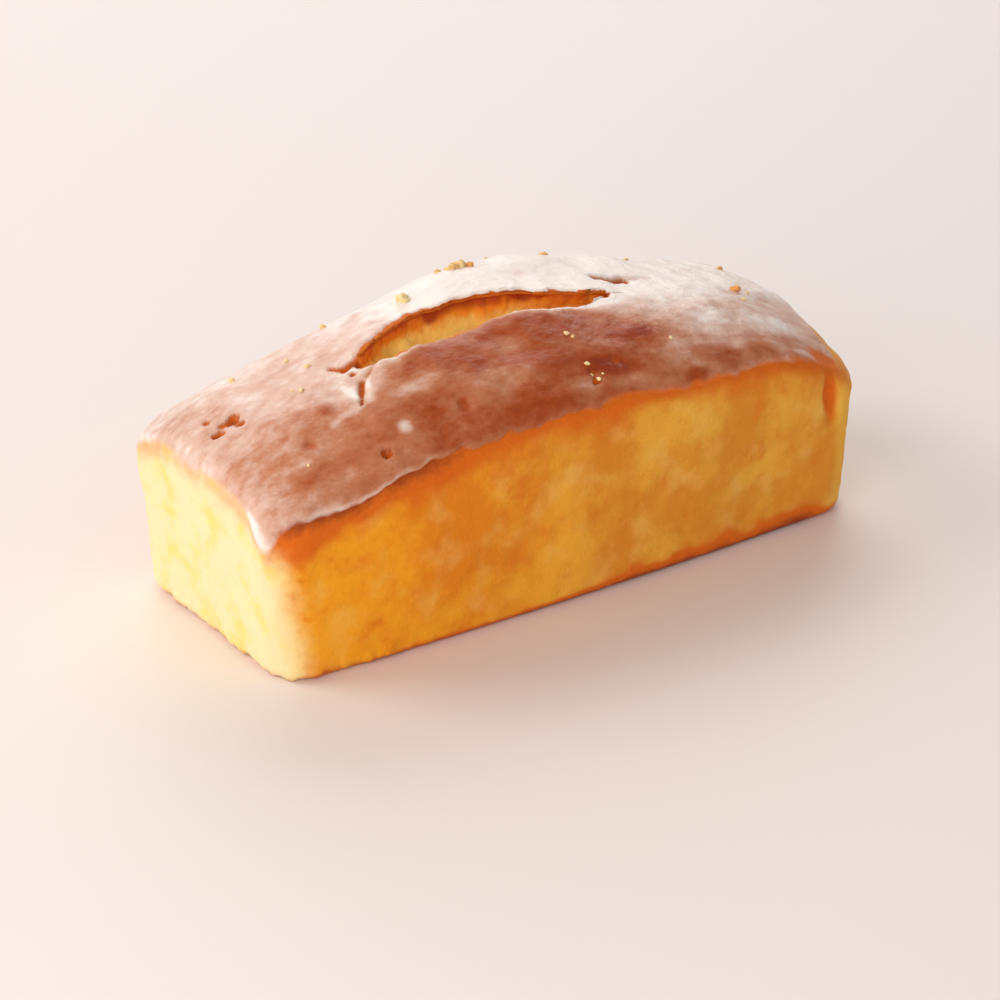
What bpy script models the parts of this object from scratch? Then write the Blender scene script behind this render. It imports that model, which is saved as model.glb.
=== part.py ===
"""Lemon loaf cake: a whole cake baked in a loaf tin, split along its crown, under a thin sugar icing.

Two solids are made. The loaf is a cube cut into a grid of faces and moved onto tapered walls, a flat
base and a domed top that is torn open along the middle. The icing is a skin on the top of the loaf:
it repeats the loaf's own faces, stops at the lips of the split and ends in an uneven edge on the walls.

X runs along the loaf, Y across it and Z up, with the origin under its middle. Lengths are in metres.
"""

import math

import bmesh
import bpy
import numpy as np
from mathutils import Vector, noise

# Driving dimensions
LOAF_LENGTH = 0.1735
END_WIDTH = 0.072
MIDDLE_WIDTH = 0.078
CROWN_HEIGHT = 0.0645
LEFT_CROWN_HEIGHT = 0.0465
RIGHT_CROWN_HEIGHT = 0.0465
RIM_HEIGHT_MIDDLE = 0.0510
RIM_HEIGHT_CORNER = 0.0405
CROWN_PEAK_X = -0.004
# Where the top swells or sinks: place along X, place along Y, height, and how far it reaches in X and Y
TOP_SWELLS = (
    (-0.002, 0.019, 0.0058, 0.028, 0.016),
    (0.036, 0.024, 0.0024, 0.030, 0.016),
    (-0.055, 0.036, -0.0022, 0.034, 0.011),
    (-0.086, 0.030, -0.0018, 0.016, 0.016),
    (-0.022, 0.032, -0.0014, 0.016, 0.012),
    (0.086, -0.031, -0.0058, 0.017, 0.020),
)

# Tin-baked walls
CORNER_RADIUS = 0.010
END_DRAFT = math.radians(3.5)
SIDE_DRAFT = math.radians(2.5)
BASE_RADIUS = 0.0030
SHOULDER_RADIUS = 0.0065
SHOULDER_INSET = 0.0050
WALL_RELIEF = 0.0007
TOP_RELIEF = 0.0007

# The split: stations along it, where its two lips lie, and how deep it is. Past its tips the depth is 0
SPLIT_X = (-0.078, -0.050, -0.045, -0.038, -0.030, -0.022, -0.014, -0.006, 0.002, 0.010, 0.018, 0.028, 0.070)
SPLIT_FRONT = (
    -0.0090, -0.0060, -0.0070, -0.0078, -0.0084, -0.0085,
    -0.0078, -0.0070, -0.0074, -0.0088, -0.0086, -0.0092, -0.0060,
)
SPLIT_BACK = (
    -0.0010, -0.0044, -0.0036, -0.0014, 0.0012, 0.0030,
    0.0038, 0.0024, -0.0002, -0.0024, -0.0046, -0.0074, 0.0030,
)
SPLIT_DEPTH = (0.0, 0.0, 0.0030, 0.0060, 0.0085, 0.0100, 0.0105, 0.0095, 0.0080, 0.0060, 0.0040, 0.0, 0.0)
BACK_LIP_RISE = 0.0022
FRONT_LIP_RISE = 0.0008
LIP_REACH = 0.011
RAGGED_LIP = 0.0007

# Icing
ICING_THICKNESS = 0.0010
TOUCH_GAP = 0.0003
ICING_DROP = 0.0030
ICING_EDGE_WAVE = 0.0016
LEAST_DROP = 0.0012

# Runs of icing that hang lower than its edge: place along X, place along Y, extra drop, width
ICING_RUNS = (
    (-0.0815, -0.0300, 0.0085, 0.0050),
    (-0.066, -0.032, 0.0022, 0.0110),
    (-0.020, -0.039, 0.0022, 0.0100),
    (0.046, -0.038, 0.0030, 0.0090),
    (0.078, -0.034, 0.0020, 0.0060),
    (0.086, 0.010, 0.0050, 0.0080),
    (0.030, 0.038, 0.0055, 0.0070),
    (-0.038, 0.038, 0.0070, 0.0060),
    (-0.086, 0.018, 0.0015, 0.0090),
)

# Grid of faces
EDGE_INSETS = (SHOULDER_INSET, 0.0074, 0.0110)
SPANS_ALONG = 48
SPANS_PER_FLANK = 5
SPANS_IN_SPLIT = 4
WALL_ROWS = 7
ICED_ROWS = 3

BASE_ROWS = 2
SPLIT_ROW_START = len(EDGE_INSETS) - 1 + SPANS_PER_FLANK
SPLIT_ROW_END = SPLIT_ROW_START + SPANS_IN_SPLIT
COUNT_X = SPANS_ALONG + 2 * (len(EDGE_INSETS) - 1)
COUNT_Y = SPLIT_ROW_END + SPANS_PER_FLANK + len(EDGE_INSETS) - 1
COUNT_Z = BASE_ROWS + WALL_ROWS + ICED_ROWS
ICING_EDGE_ROW = COUNT_Z - ICED_ROWS

# How far each line of faces inside the split lies across it, and how much of its depth it reaches
SPLIT_ACROSS = (0.0, 0.16, 0.52, 0.84, 1.0)
SPLIT_DEPTHS = (0.0, 0.80, 1.0, 0.86, 0.0)

HALF_LENGTH = LOAF_LENGTH / 2


def ripple(x, y, z, wavelength, seed):
    """Smooth uneven relief, from about -1 to 1."""
    place = Vector((x / wavelength + seed, y / wavelength - seed, z / wavelength + 0.5 * seed))
    return noise.noise(place) * 1.6


def bow(x):
    """1 at the middle of the loaf's length, 0 at its ends."""
    return max(0.0, 1.0 - (x / HALF_LENGTH) ** 2)


def half_width(x):
    return (END_WIDTH + (MIDDLE_WIDTH - END_WIDTH) * bow(x)) / 2


def lips(x):
    """Y of the front and back lips at x, and the depth between them."""
    ragged = RAGGED_LIP * min(1.0, float(np.interp(x, SPLIT_X, SPLIT_DEPTH)) / 0.004)
    front = float(np.interp(x, SPLIT_X, SPLIT_FRONT)) + ragged * ripple(x, 0.0, 0.0, 0.008, 3.0)
    back = float(np.interp(x, SPLIT_X, SPLIT_BACK)) + ragged * ripple(x, 0.0, 0.0, 0.010, 4.0)
    return front, back, float(np.interp(x, SPLIT_X, SPLIT_DEPTH))


def dome(x, y):
    """Height of the risen top at a place, before its shoulder is rounded off."""
    end_crown = LEFT_CROWN_HEIGHT if x < CROWN_PEAK_X else RIGHT_CROWN_HEIGHT
    along = (x - CROWN_PEAK_X) / (math.copysign(HALF_LENGTH, x - CROWN_PEAK_X) - CROWN_PEAK_X)
    rise = max(0.0, 1.0 - along * along) ** 0.85
    crown = end_crown + (CROWN_HEIGHT - end_crown) * rise
    rim = RIM_HEIGHT_CORNER + (RIM_HEIGHT_MIDDLE - RIM_HEIGHT_CORNER) * bow(x)
    across = min(1.0, abs(y) / half_width(x))
    height = rim + (crown - rim) * (1.0 - across**2.3) ** 0.9
    for swell_x, swell_y, swell, reach_x, reach_y in TOP_SWELLS:
        height += swell * math.exp(-(((x - swell_x) / reach_x) ** 2) - ((y - swell_y) / reach_y) ** 2)
    return height


def lip_rise(x, y):
    """The lips of the split are pushed up, the back one more."""
    front, back, depth = lips(x)
    away = max(0.0, front - y, y - back) / LIP_REACH
    top = BACK_LIP_RISE if y > (front + back) / 2 else FRONT_LIP_RISE
    return top * min(1.0, depth / 0.005) * math.exp(-2.0 * away**1.5)


def shoulder_drop(depth):
    """How far the top falls, this near to the outline, as its edge rounds over into the wall."""
    short = max(0.0, 1.0 - depth / SHOULDER_RADIUS)
    return SHOULDER_RADIUS * (1.0 - math.sqrt(1.0 - short * short))


def line_along(i):
    """X of a grid line, from 0 at the left end to COUNT_X at the right."""
    last = len(EDGE_INSETS) - 1
    if i <= last:
        return -HALF_LENGTH + EDGE_INSETS[i]
    if i >= COUNT_X - last:
        return HALF_LENGTH - EDGE_INSETS[COUNT_X - i]
    share = (i - last) / SPANS_ALONG
    return (2 * share - 1) * (HALF_LENGTH - EDGE_INSETS[last])


def line_across(j, x):
    """Y of a grid line at x. The lines bend so that the split's lips lie on two of them."""
    front, back, _ = lips(x)
    inset = len(EDGE_INSETS) - 1
    wall = half_width(x)
    if j <= inset:
        return -wall + EDGE_INSETS[j]
    if j < SPLIT_ROW_START:
        share = (j - inset) / SPANS_PER_FLANK
        return (1 - share) * (-wall + EDGE_INSETS[inset]) + share * front
    if j <= SPLIT_ROW_END:
        return front + (back - front) * SPLIT_ACROSS[j - SPLIT_ROW_START]
    if j < COUNT_Y - inset:
        share = (j - SPLIT_ROW_END) / SPANS_PER_FLANK
        return (1 - share) * back + share * (wall - EDGE_INSETS[inset])
    return wall - EDGE_INSETS[COUNT_Y - j]


def rounded_plan(x, y, length, width, radius):
    """Moves a point of a rectangle into the same rectangle with round corners, and gives its depth inside."""
    core_x, core_y = length - radius, width - radius
    near = Vector((max(-core_x, min(core_x, x)), max(-core_y, min(core_y, y))))
    out = Vector((x, y)) - near
    if out.length > 0:
        out *= max(abs(out.x), abs(out.y)) / out.length
    return near + out, min(length - abs(x), width - abs(y))


def top_point(i, j):
    """A point of the risen top, before it is torn open."""
    x = line_along(i)
    place, depth = rounded_plan(x, line_across(j, x), HALF_LENGTH, half_width(x), CORNER_RADIUS)
    height = dome(place.x, place.y) - shoulder_drop(depth)
    height += TOP_RELIEF * ripple(place.x, place.y, 0.0, 0.017, 1.0) * min(1.0, depth / 0.006)
    height += lip_rise(place.x, place.y) * min(1.0, depth / 0.02)
    return Vector((place.x, place.y, height))


def torn_point(i, j):
    """A point of the finished top: inside the split it lies on the torn crumb below the lips."""
    point = top_point(i, j)
    if SPLIT_ROW_START < j < SPLIT_ROW_END:
        depth = lips(line_along(i))[2] * SPLIT_DEPTHS[j - SPLIT_ROW_START]
        point.z -= depth * (1.0 + 0.22 * ripple(point.x, point.y, 0.0, 0.008, 7.0))
    return point


def icing_drop(x, y):
    """How far over the shoulder and down the wall the icing's edge hangs here."""
    drop = ICING_DROP + ICING_EDGE_WAVE * ripple(x, y, 0.0, 0.014, 11.0)
    for run_x, run_y, extra, width in ICING_RUNS:
        away = math.hypot(x - run_x, y - run_y) / width
        drop += extra * math.exp(-away * away)
    return max(LEAST_DROP, drop)


def side_profile(travel, wall_top):
    """Inset and height of the side, this far down it from the top of its shoulder."""
    start = math.asin(1.0 - SHOULDER_INSET / SHOULDER_RADIUS)
    arc = SHOULDER_RADIUS * (math.pi / 2 - start)
    if travel <= arc:
        turn = start + travel / SHOULDER_RADIUS
        return SHOULDER_RADIUS * (1 - math.sin(turn)), wall_top + SHOULDER_RADIUS * math.cos(turn)
    return 0.0, wall_top - (travel - arc)


def side_point(i, j, k):
    """A point of the sides. Row ICING_EDGE_ROW follows the lower edge of the icing."""
    x = line_along(i)
    rim = top_point(i, j)
    inset_rise = SHOULDER_RADIUS - shoulder_drop(SHOULDER_INSET)
    wall_top = rim.z - inset_rise
    arc = SHOULDER_RADIUS * (math.pi / 2 - math.asin(1.0 - SHOULDER_INSET / SHOULDER_RADIUS))
    whole = arc + wall_top - BASE_RADIUS
    edge = icing_drop(rim.x, rim.y)
    if k <= BASE_ROWS:
        turn = math.pi / 2 * k / BASE_ROWS
        height = BASE_RADIUS * (1 - math.cos(turn))
        inset = BASE_RADIUS * (1 - math.sin(turn))
    elif k <= ICING_EDGE_ROW:
        share = (k - BASE_ROWS) / (ICING_EDGE_ROW - BASE_ROWS)
        inset, height = side_profile(whole + share * (edge - whole), wall_top)
    else:
        share = (COUNT_Z - k) / ICED_ROWS
        inset, height = side_profile(share * edge, wall_top)
    below = max(0.0, wall_top - height)
    length = HALF_LENGTH - inset - below * math.tan(END_DRAFT)
    width = half_width(x) - inset - below * math.tan(SIDE_DRAFT)
    along = x * length / (HALF_LENGTH - SHOULDER_INSET)
    across = line_across(j, x) * width / (half_width(x) - SHOULDER_INSET)
    place, _ = rounded_plan(along, across, length, width, CORNER_RADIUS - inset)
    swell = WALL_RELIEF * ripple(place.x, place.y, height, 0.021, 5.0)
    swell *= min(1.0, height / 0.010) * min(1.0, below / 0.010)
    outward = Vector((place.x / HALF_LENGTH**2, place.y / half_width(x) ** 2)).normalized()
    return Vector((*(place + outward * swell), height))


def base_point(i, j):
    """A point of the flat base."""
    if i in (0, COUNT_X) or j in (0, COUNT_Y):
        return side_point(i, j, 0)
    return Vector((line_along(i) * 0.9, line_across(j, line_along(i)) * 0.9, 0.0))


def gridded_cube():
    """A cube cut into COUNT_X by COUNT_Y by COUNT_Z cells, with whole numbers for its coordinates."""
    grid = bmesh.new()
    bmesh.ops.create_cube(grid, size=2.0)
    for axis, count in enumerate((COUNT_X, COUNT_Y, COUNT_Z)):
        lines = [
            edge
            for edge in grid.edges
            if abs(edge.verts[0].co[axis] - edge.verts[1].co[axis]) > 1.0
        ]
        bmesh.ops.subdivide_edges(grid, edges=lines, cuts=count - 1, use_grid_fill=True)
    for vert in grid.verts:
        counts = (COUNT_X, COUNT_Y, COUNT_Z)
        vert.co = [round((c + 1) / 2 * n) for c, n in zip(vert.co, counts)]
    return grid


def loaf_mesh():
    """The loaf's closed surface, and beside it the share of it that the icing covers."""
    loaf = gridded_cube()
    covered = set()
    for face in loaf.faces:
        rows = [round(v.co.y) for v in face.verts]
        levels = [round(v.co.z) for v in face.verts]
        columns = [round(v.co.x) for v in face.verts]
        on_top = min(levels) == COUNT_Z
        in_split = on_top and min(rows) >= SPLIT_ROW_START and max(rows) <= SPLIT_ROW_END
        torn = in_split and max(lips(line_along(c))[2] for c in columns) > 0.0
        if min(levels) >= ICING_EDGE_ROW and not torn:
            covered.add(face.index)
    places = {}
    for vert in loaf.verts:
        i, j, k = (round(c) for c in vert.co)
        if k == COUNT_Z:
            places[vert] = torn_point(i, j)
        elif k == 0:
            places[vert] = base_point(i, j)
        else:
            places[vert] = side_point(i, j, k)
    for vert, place in places.items():
        vert.co = place
    return loaf, covered


def add_object(name, grid, collection, material):
    mesh = bpy.data.meshes.new(name)
    grid.to_mesh(mesh)
    grid.free()
    mesh.shade_smooth()
    mesh.set_sharp_from_angle(angle=math.radians(50))
    mesh.materials.append(material)
    placed = bpy.data.objects.new(name, mesh)
    collection.objects.link(placed)
    return placed


def food_material(name, colour, roughness):
    material = bpy.data.materials.new(name)
    material.use_nodes = True
    shader = material.node_tree.nodes["Principled BSDF"]
    shader.inputs["Base Color"].default_value = (*colour, 1.0)
    shader.inputs["Roughness"].default_value = roughness
    shader.inputs["Metallic"].default_value = 0.0
    return material


def make_loaf(collection):
    """The cake itself: one solid with a flat base of few faces."""
    grid, _ = loaf_mesh()
    flat = [f for f in grid.faces if all(v.co.z < 1e-6 for v in f.verts)]
    bmesh.ops.dissolve_faces(grid, faces=flat, use_verts=True)
    bmesh.ops.triangulate(grid, faces=grid.faces[:], quad_method="FIXED")
    bmesh.ops.recalc_face_normals(grid, faces=grid.faces[:])
    return add_object("loaf", grid, collection, food_material("cake", (0.78, 0.46, 0.12), 0.6))


def make_icing(collection):
    """A skin of even thickness on the faces that the icing covers, a touch above the cake."""
    grid, covered = loaf_mesh()
    bare = [f for f in grid.faces if f.index not in covered]
    bmesh.ops.delete(grid, geom=bare, context="FACES")
    bmesh.ops.triangulate(grid, faces=grid.faces[:], quad_method="FIXED")
    bmesh.ops.recalc_face_normals(grid, faces=grid.faces[:])
    if sum(f.normal.z for f in grid.faces) < 0:
        bmesh.ops.reverse_faces(grid, faces=grid.faces[:])
    grid.normal_update()
    lifted = {v: v.co + v.normal * TOUCH_GAP for v in grid.verts}
    for vert, place in lifted.items():
        vert.co = place
    icing = add_object("icing", grid, collection, food_material("icing", (0.72, 0.47, 0.36), 0.3))
    skin = icing.modifiers.new("Icing thickness", "SOLIDIFY")
    skin.thickness = ICING_THICKNESS
    skin.offset = 1.0
    skin.use_rim = True
    return icing


def main():
    for old in list(bpy.data.objects):
        bpy.data.objects.remove(old, do_unlink=True)
    cake = bpy.data.collections.new("lemon_loaf_cake")
    bpy.context.scene.collection.children.link(cake)
    make_loaf(cake)
    make_icing(cake)


main()
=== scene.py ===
"""The finished look of a lemon loaf cake: golden sponge, a browned and torn crown, and a thin sugar glaze.

Each section makes one piece, from its sizes to its material. Lengths are in metres. X runs along the loaf,
Y across it and Z up.
"""

import math

import bpy
import numpy as np
from mathutils import Matrix, Vector, noise


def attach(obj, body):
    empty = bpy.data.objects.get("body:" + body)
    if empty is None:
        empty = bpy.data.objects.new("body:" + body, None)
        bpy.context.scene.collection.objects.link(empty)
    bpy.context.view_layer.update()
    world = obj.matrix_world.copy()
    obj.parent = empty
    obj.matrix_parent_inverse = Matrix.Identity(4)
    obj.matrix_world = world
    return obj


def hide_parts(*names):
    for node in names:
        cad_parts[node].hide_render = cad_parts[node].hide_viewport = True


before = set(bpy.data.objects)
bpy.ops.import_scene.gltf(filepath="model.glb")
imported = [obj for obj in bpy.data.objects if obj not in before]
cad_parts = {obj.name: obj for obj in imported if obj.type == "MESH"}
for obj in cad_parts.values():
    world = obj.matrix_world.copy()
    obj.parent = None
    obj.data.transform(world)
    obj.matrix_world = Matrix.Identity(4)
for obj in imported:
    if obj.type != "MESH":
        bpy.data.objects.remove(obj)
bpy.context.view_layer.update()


# The loaf. Yellow sponge baked in a small tin: flat tapered sides, a browned shoulder and crown, and a
# split along the top where the crust tore open as it rose. It stands on its own flat base.

LOAF_LENGTH = 0.1735
END_WIDTH = 0.072
MIDDLE_WIDTH = 0.078
CROWN_HEIGHT = 0.0645
END_CROWN_HEIGHT = 0.0465
RIM_HEIGHT_MIDDLE = 0.0510
RIM_HEIGHT_CORNER = 0.0405
CROWN_PEAK_X = -0.004
# How full the top's curves are, along the loaf and across it
FULLNESS_ALONG = 0.85
FULLNESS_ACROSS = 0.9
FLATNESS_ACROSS = 2.3
# Where the top swells or sinks: place along X, place along Y, height, and how far it reaches in X and Y
TOP_SWELLS = (
    (-0.002, 0.019, 0.0058, 0.028, 0.016),
    (0.036, 0.024, 0.0024, 0.030, 0.016),
    (-0.055, 0.036, -0.0022, 0.034, 0.011),
    (-0.086, 0.030, -0.0018, 0.016, 0.016),
    (-0.022, 0.032, -0.0014, 0.016, 0.012),
    (0.086, -0.031, -0.0058, 0.017, 0.020),
)
CORNER_RADIUS = 0.010
END_DRAFT = math.radians(3.5)
SIDE_DRAFT = math.radians(2.5)
BASE_RADIUS = 0.0030
SHOULDER_RADIUS = 0.0065
SHOULDER_INSET = 0.0050
FLANK_INSET = 0.011
WALL_RELIEF = 0.0007
TOP_RELIEF = 0.0007

# Stations along the split, where its two lips lie, and how deep it is
SPLIT_X = (
    -0.078, -0.0475, -0.0440, -0.0405, -0.037, -0.030, -0.022, -0.014,
    -0.006, 0.002, 0.010, 0.018, 0.032, 0.070,
)
SPLIT_FRONT = (
    -0.0090, -0.0048, -0.0052, -0.0066, -0.0078, -0.0084, -0.0085, -0.0078,
    -0.0070, -0.0074, -0.0088, -0.0086, -0.0072, -0.0060,
)
SPLIT_BACK = (
    -0.0010, -0.0034, -0.0030, -0.0020, -0.0010, 0.0012, 0.0030, 0.0038,
    0.0024, -0.0002, -0.0024, -0.0046, -0.0056, 0.0030,
)
SPLIT_DEPTH = (
    0.0, 0.0, 0.0016, 0.0040, 0.0062, 0.0085, 0.0100, 0.0105,
    0.0095, 0.0080, 0.0062, 0.0046, 0.0, 0.0,
)
BACK_LIP_RISE = 0.0022
FRONT_LIP_RISE = 0.0008
LIP_REACH = 0.011
RAGGED_LIP = 0.0008
# The lips are fully ragged where the split is at least this deep
RAGGED_DEPTH = 0.004
# How far across the split the raggedness of its lips goes, as a share
TATTER_REACH = 0.06
UNDERCUT = 0.0009
# Shape of the split from its front lip to its back lip: how far across, and what share of its depth
SPLIT_ACROSS = (0.0, 0.03, 0.10, 0.17, 0.30, 0.52, 0.70, 0.83, 0.90, 0.97, 1.0)
SPLIT_SHARES = (0.0, 0.30, 0.66, 0.82, 0.95, 1.00, 0.97, 0.86, 0.68, 0.30, 0.0)

# Small hollows in the top where bubbles broke under the crust: place along X and Y, depth, radius
PITS = (
    (-0.0783, 0.0083, 0.0005, 0.0014),
    (-0.0790, 0.0018, 0.0011, 0.0014),
    (-0.0740, 0.0033, 0.0010, 0.0017),
    (-0.0734, 0.0004, 0.0006, 0.0012),
    (-0.0768, 0.0037, 0.0004, 0.0013),
    (-0.0804, -0.0046, 0.00022, 0.0022),
    (-0.0463, -0.0062, 0.0006, 0.0010),
    (-0.0535, -0.0322, 0.0013, 0.0010),
    (-0.0671, -0.0209, 0.00034, 0.0024),
    (-0.0703, -0.0155, 0.00024, 0.0018),
    (0.0052, -0.0316, 0.0008, 0.0009),
    (0.0046, -0.0343, 0.0008, 0.0010),
    (0.0130, -0.0300, 0.00035, 0.0022),
    (-0.0300, -0.0290, 0.00030, 0.0026),
    (-0.0120, 0.0270, 0.0010, 0.0012),
    (0.0610, 0.0200, 0.0012, 0.0011),
    (0.0640, 0.0170, 0.0009, 0.0013),
    (-0.0550, 0.0240, 0.0011, 0.0012),
)
# Fine cracks in the crust off the split: from X, Y to X, Y, depth, half width
CRACKS = (
    (-0.0430, -0.0031, -0.0465, -0.0030, 0.0011, 0.0009),
    (-0.0465, -0.0030, -0.0486, 0.0006, 0.0006, 0.0008),
    (-0.0400, -0.0068, -0.0468, -0.0114, 0.0003, 0.0009),
    (-0.0464, -0.0108, -0.0486, -0.0139, 0.0007, 0.0008),
    (-0.0484, -0.0137, -0.0506, -0.0172, 0.0005, 0.00045),
    (0.0296, 0.0030, 0.0345, 0.0008, 0.0008, 0.0010),
    (0.0340, 0.0008, 0.0372, 0.0011, 0.0012, 0.0013),
    (0.0372, 0.0011, 0.0460, 0.0014, 0.00028, 0.0009),
)
# A ridge and a chunk of crumb that stand in the split: place along X and its reach, place across the
# split as a share and its reach, and how much of the depth they fill
RIDGE = (-0.0325, 0.0075, 0.40, 0.15, 0.62)
CHUNK = (0.0185, 0.005, 0.55, 0.30, 0.45)
# The pinch down the long side near its right end
PINCH_X = 0.0748
PINCH_DEPTH = 0.0016
PINCH_WIDTH = 0.0022
# It fades out downwards between these heights
PINCH_LOW_END = (0.022, 0.034)
# Pores in the bare walls: their widths are shares of the spacing
PORE_SPACING = 0.0042
PORE_DEPTH = 0.00030
PORE_WIDTHS = (0.10, 0.26)

HALF_LENGTH = LOAF_LENGTH / 2
SHOULDER_START = math.asin(1 - SHOULDER_INSET / SHOULDER_RADIUS)
SHOULDER_ARC = SHOULDER_RADIUS * (math.pi / 2 - SHOULDER_START)

# Fine grid of faces: how many columns along the loaf, how many rows in each strip across it, and how many
# levels down the shoulder and wall and round the base edge
COLUMNS = 270
EDGE_ROWS = 9
FLANK_ROWS = 40
SPLIT_ROWS = 36
SIDE_LEVELS = 64
BASE_LEVELS = 6


def ripple(x, y, z, size, seed):
    """Smooth uneven relief with bumps of about this size, from about -1 to 1, for arrays of places."""
    places = np.broadcast_arrays(x / size + seed, y / size - seed, z / size + 0.5 * seed)
    return 1.6 * np.array([noise.noise(place) for place in np.stack(places, -1).reshape(-1, 3).tolist()])


def ripples(x, y, z, *layers):
    """Ripples on top of each other, each given by its height, the size of its bumps and its seed."""
    return sum(height * ripple(x, y, z, size, seed) for height, size, seed in layers)


def fade(value, low, high):
    """0 below low and 1 above high, with a smooth rise between."""
    share = np.clip((value - low) / (high - low), 0, 1)
    return share * share * (3 - 2 * share)


def hump(value, width):
    """1 where the value is 0, and falling off to nothing within about twice this width."""
    return np.exp(-((value / width) ** 2))


def bow(x):
    """1 at the middle of the loaf's length, 0 at its ends."""
    return np.clip(1 - (x / HALF_LENGTH) ** 2, 0, None)


def half_width(x):
    """Half the loaf's width at x, across the tops of its walls."""
    return (END_WIDTH + (MIDDLE_WIDTH - END_WIDTH) * bow(x)) / 2


def lip_tatters(x):
    """The fine raggedness of the front and back lips at x."""
    ragged = RAGGED_LIP * np.clip(np.interp(x, SPLIT_X, SPLIT_DEPTH) / RAGGED_DEPTH, 0, 1)
    front = ragged * ripples(x, 0, 0, (0.8, 0.0036, 3.5), (0.5, 0.0016, 3.7))
    back = ragged * ripples(x, 0, 0, (0.9, 0.0038, 4.5), (0.5, 0.0016, 4.7))
    return front, back


def lips(x):
    """Y of the front and back lips at x, and the depth between them."""
    depth = np.interp(x, SPLIT_X, SPLIT_DEPTH)
    ragged = RAGGED_LIP * np.clip(depth / RAGGED_DEPTH, 0, 1)
    front_tatters, back_tatters = lip_tatters(x)
    front = np.interp(x, SPLIT_X, SPLIT_FRONT) + ragged * ripple(x, 0, 0, 0.008, 3.0) + front_tatters
    back = np.interp(x, SPLIT_X, SPLIT_BACK) + ragged * ripple(x, 0, 0, 0.010, 4.0) + back_tatters
    return front, back, depth


def dome(x, y):
    """Height of the risen top at a place, before its shoulder is rounded off."""
    end = np.where(x < CROWN_PEAK_X, -HALF_LENGTH, HALF_LENGTH)
    rise = np.clip(1 - ((x - CROWN_PEAK_X) / (end - CROWN_PEAK_X)) ** 2, 0, None) ** FULLNESS_ALONG
    crown = END_CROWN_HEIGHT + (CROWN_HEIGHT - END_CROWN_HEIGHT) * rise
    rim = RIM_HEIGHT_CORNER + (RIM_HEIGHT_MIDDLE - RIM_HEIGHT_CORNER) * bow(x)
    across = np.clip(np.abs(y) / half_width(x), 0, 1)
    height = rim + (crown - rim) * (1 - across**FLATNESS_ACROSS) ** FULLNESS_ACROSS
    for swell_x, swell_y, swell, reach_x, reach_y in TOP_SWELLS:
        height = height + swell * hump(x - swell_x, reach_x) * hump(y - swell_y, reach_y)
    return height


def lip_rise(x, y):
    """The lips of the split are pushed up, the back one more."""
    front, back, depth = lips(x)
    away = np.clip(np.maximum(front - y, y - back), 0, None) / LIP_REACH
    top = np.where(y > (front + back) / 2, BACK_LIP_RISE, FRONT_LIP_RISE)
    return top * np.clip(depth / 0.005, 0, 1) * np.exp(-2 * away**1.5)


def near_line(x, y, line):
    """1 on a line from X, Y to X, Y and fading to 0 beside it, within about its half width."""
    start_x, start_y, end_x, end_y, _, width = line
    run_x, run_y = end_x - start_x, end_y - start_y
    share = ((x - start_x) * run_x + (y - start_y) * run_y) / (run_x**2 + run_y**2)
    share = np.clip(share, 0, 1)
    return hump(np.hypot(x - start_x - share * run_x, y - start_y - share * run_y), width)


def marks(x, y):
    """How deep the pits and fine cracks are at a place on the top."""
    uneven = np.clip(1 + 0.26 * ripple(x, y, 0, 0.0021, 41.0), 0.6, 1.4)
    depth = np.zeros(len(x))
    for pit_x, pit_y, pit_depth, radius in PITS:
        away = np.hypot(x - pit_x, y - pit_y) / (radius * uneven)
        depth = np.maximum(depth, pit_depth * np.exp(-(away**3)))
    for line in CRACKS:
        depth = np.maximum(depth, line[4] * near_line(x, y, line) ** (1 / uneven**2))
    return depth


def shoulder_drop(depth):
    """How far the top falls, this near to the outline, as its edge rounds over into the wall."""
    short = np.clip(1 - depth / SHOULDER_RADIUS, 0, 1)
    return SHOULDER_RADIUS * (1 - np.sqrt(1 - short**2))


def rounded_plan(x, y, length, width, radius):
    """Moves places of a rectangle into the same rectangle with round corners."""
    near_x = np.clip(x, radius - length, length - radius)
    near_y = np.clip(y, radius - width, width - radius)
    out_x, out_y = x - near_x, y - near_y
    reach = np.hypot(out_x, out_y)
    pull = np.maximum(np.abs(out_x), np.abs(out_y)) / np.where(reach > 0, reach, 1)
    return near_x + out_x * pull, near_y + out_y * pull


def line_across(share, x):
    """Y of a grid line at x. Its share counts strips from the front: edge, flank, split, flank, edge."""
    front, back, _ = lips(x)
    wall = half_width(x)
    outer, inner = wall - SHOULDER_INSET, wall - FLANK_INSET
    bounds = np.stack([-outer, -inner, front, back, inner, outer])
    strip = np.minimum(share.astype(int), 4)
    part = share - strip
    spot = np.arange(len(x))
    line = bounds[strip, spot] * (1 - part) + bounds[strip + 1, spot] * part
    # Inside the split the lips' raggedness soon ends
    front_tatters, back_tatters = lip_tatters(x)
    evened = front_tatters * (1 - part) * (1 - np.exp(-part / TATTER_REACH))
    evened += back_tatters * part * (1 - np.exp(-(1 - part) / TATTER_REACH))
    return line - evened * (strip == 2)


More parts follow.
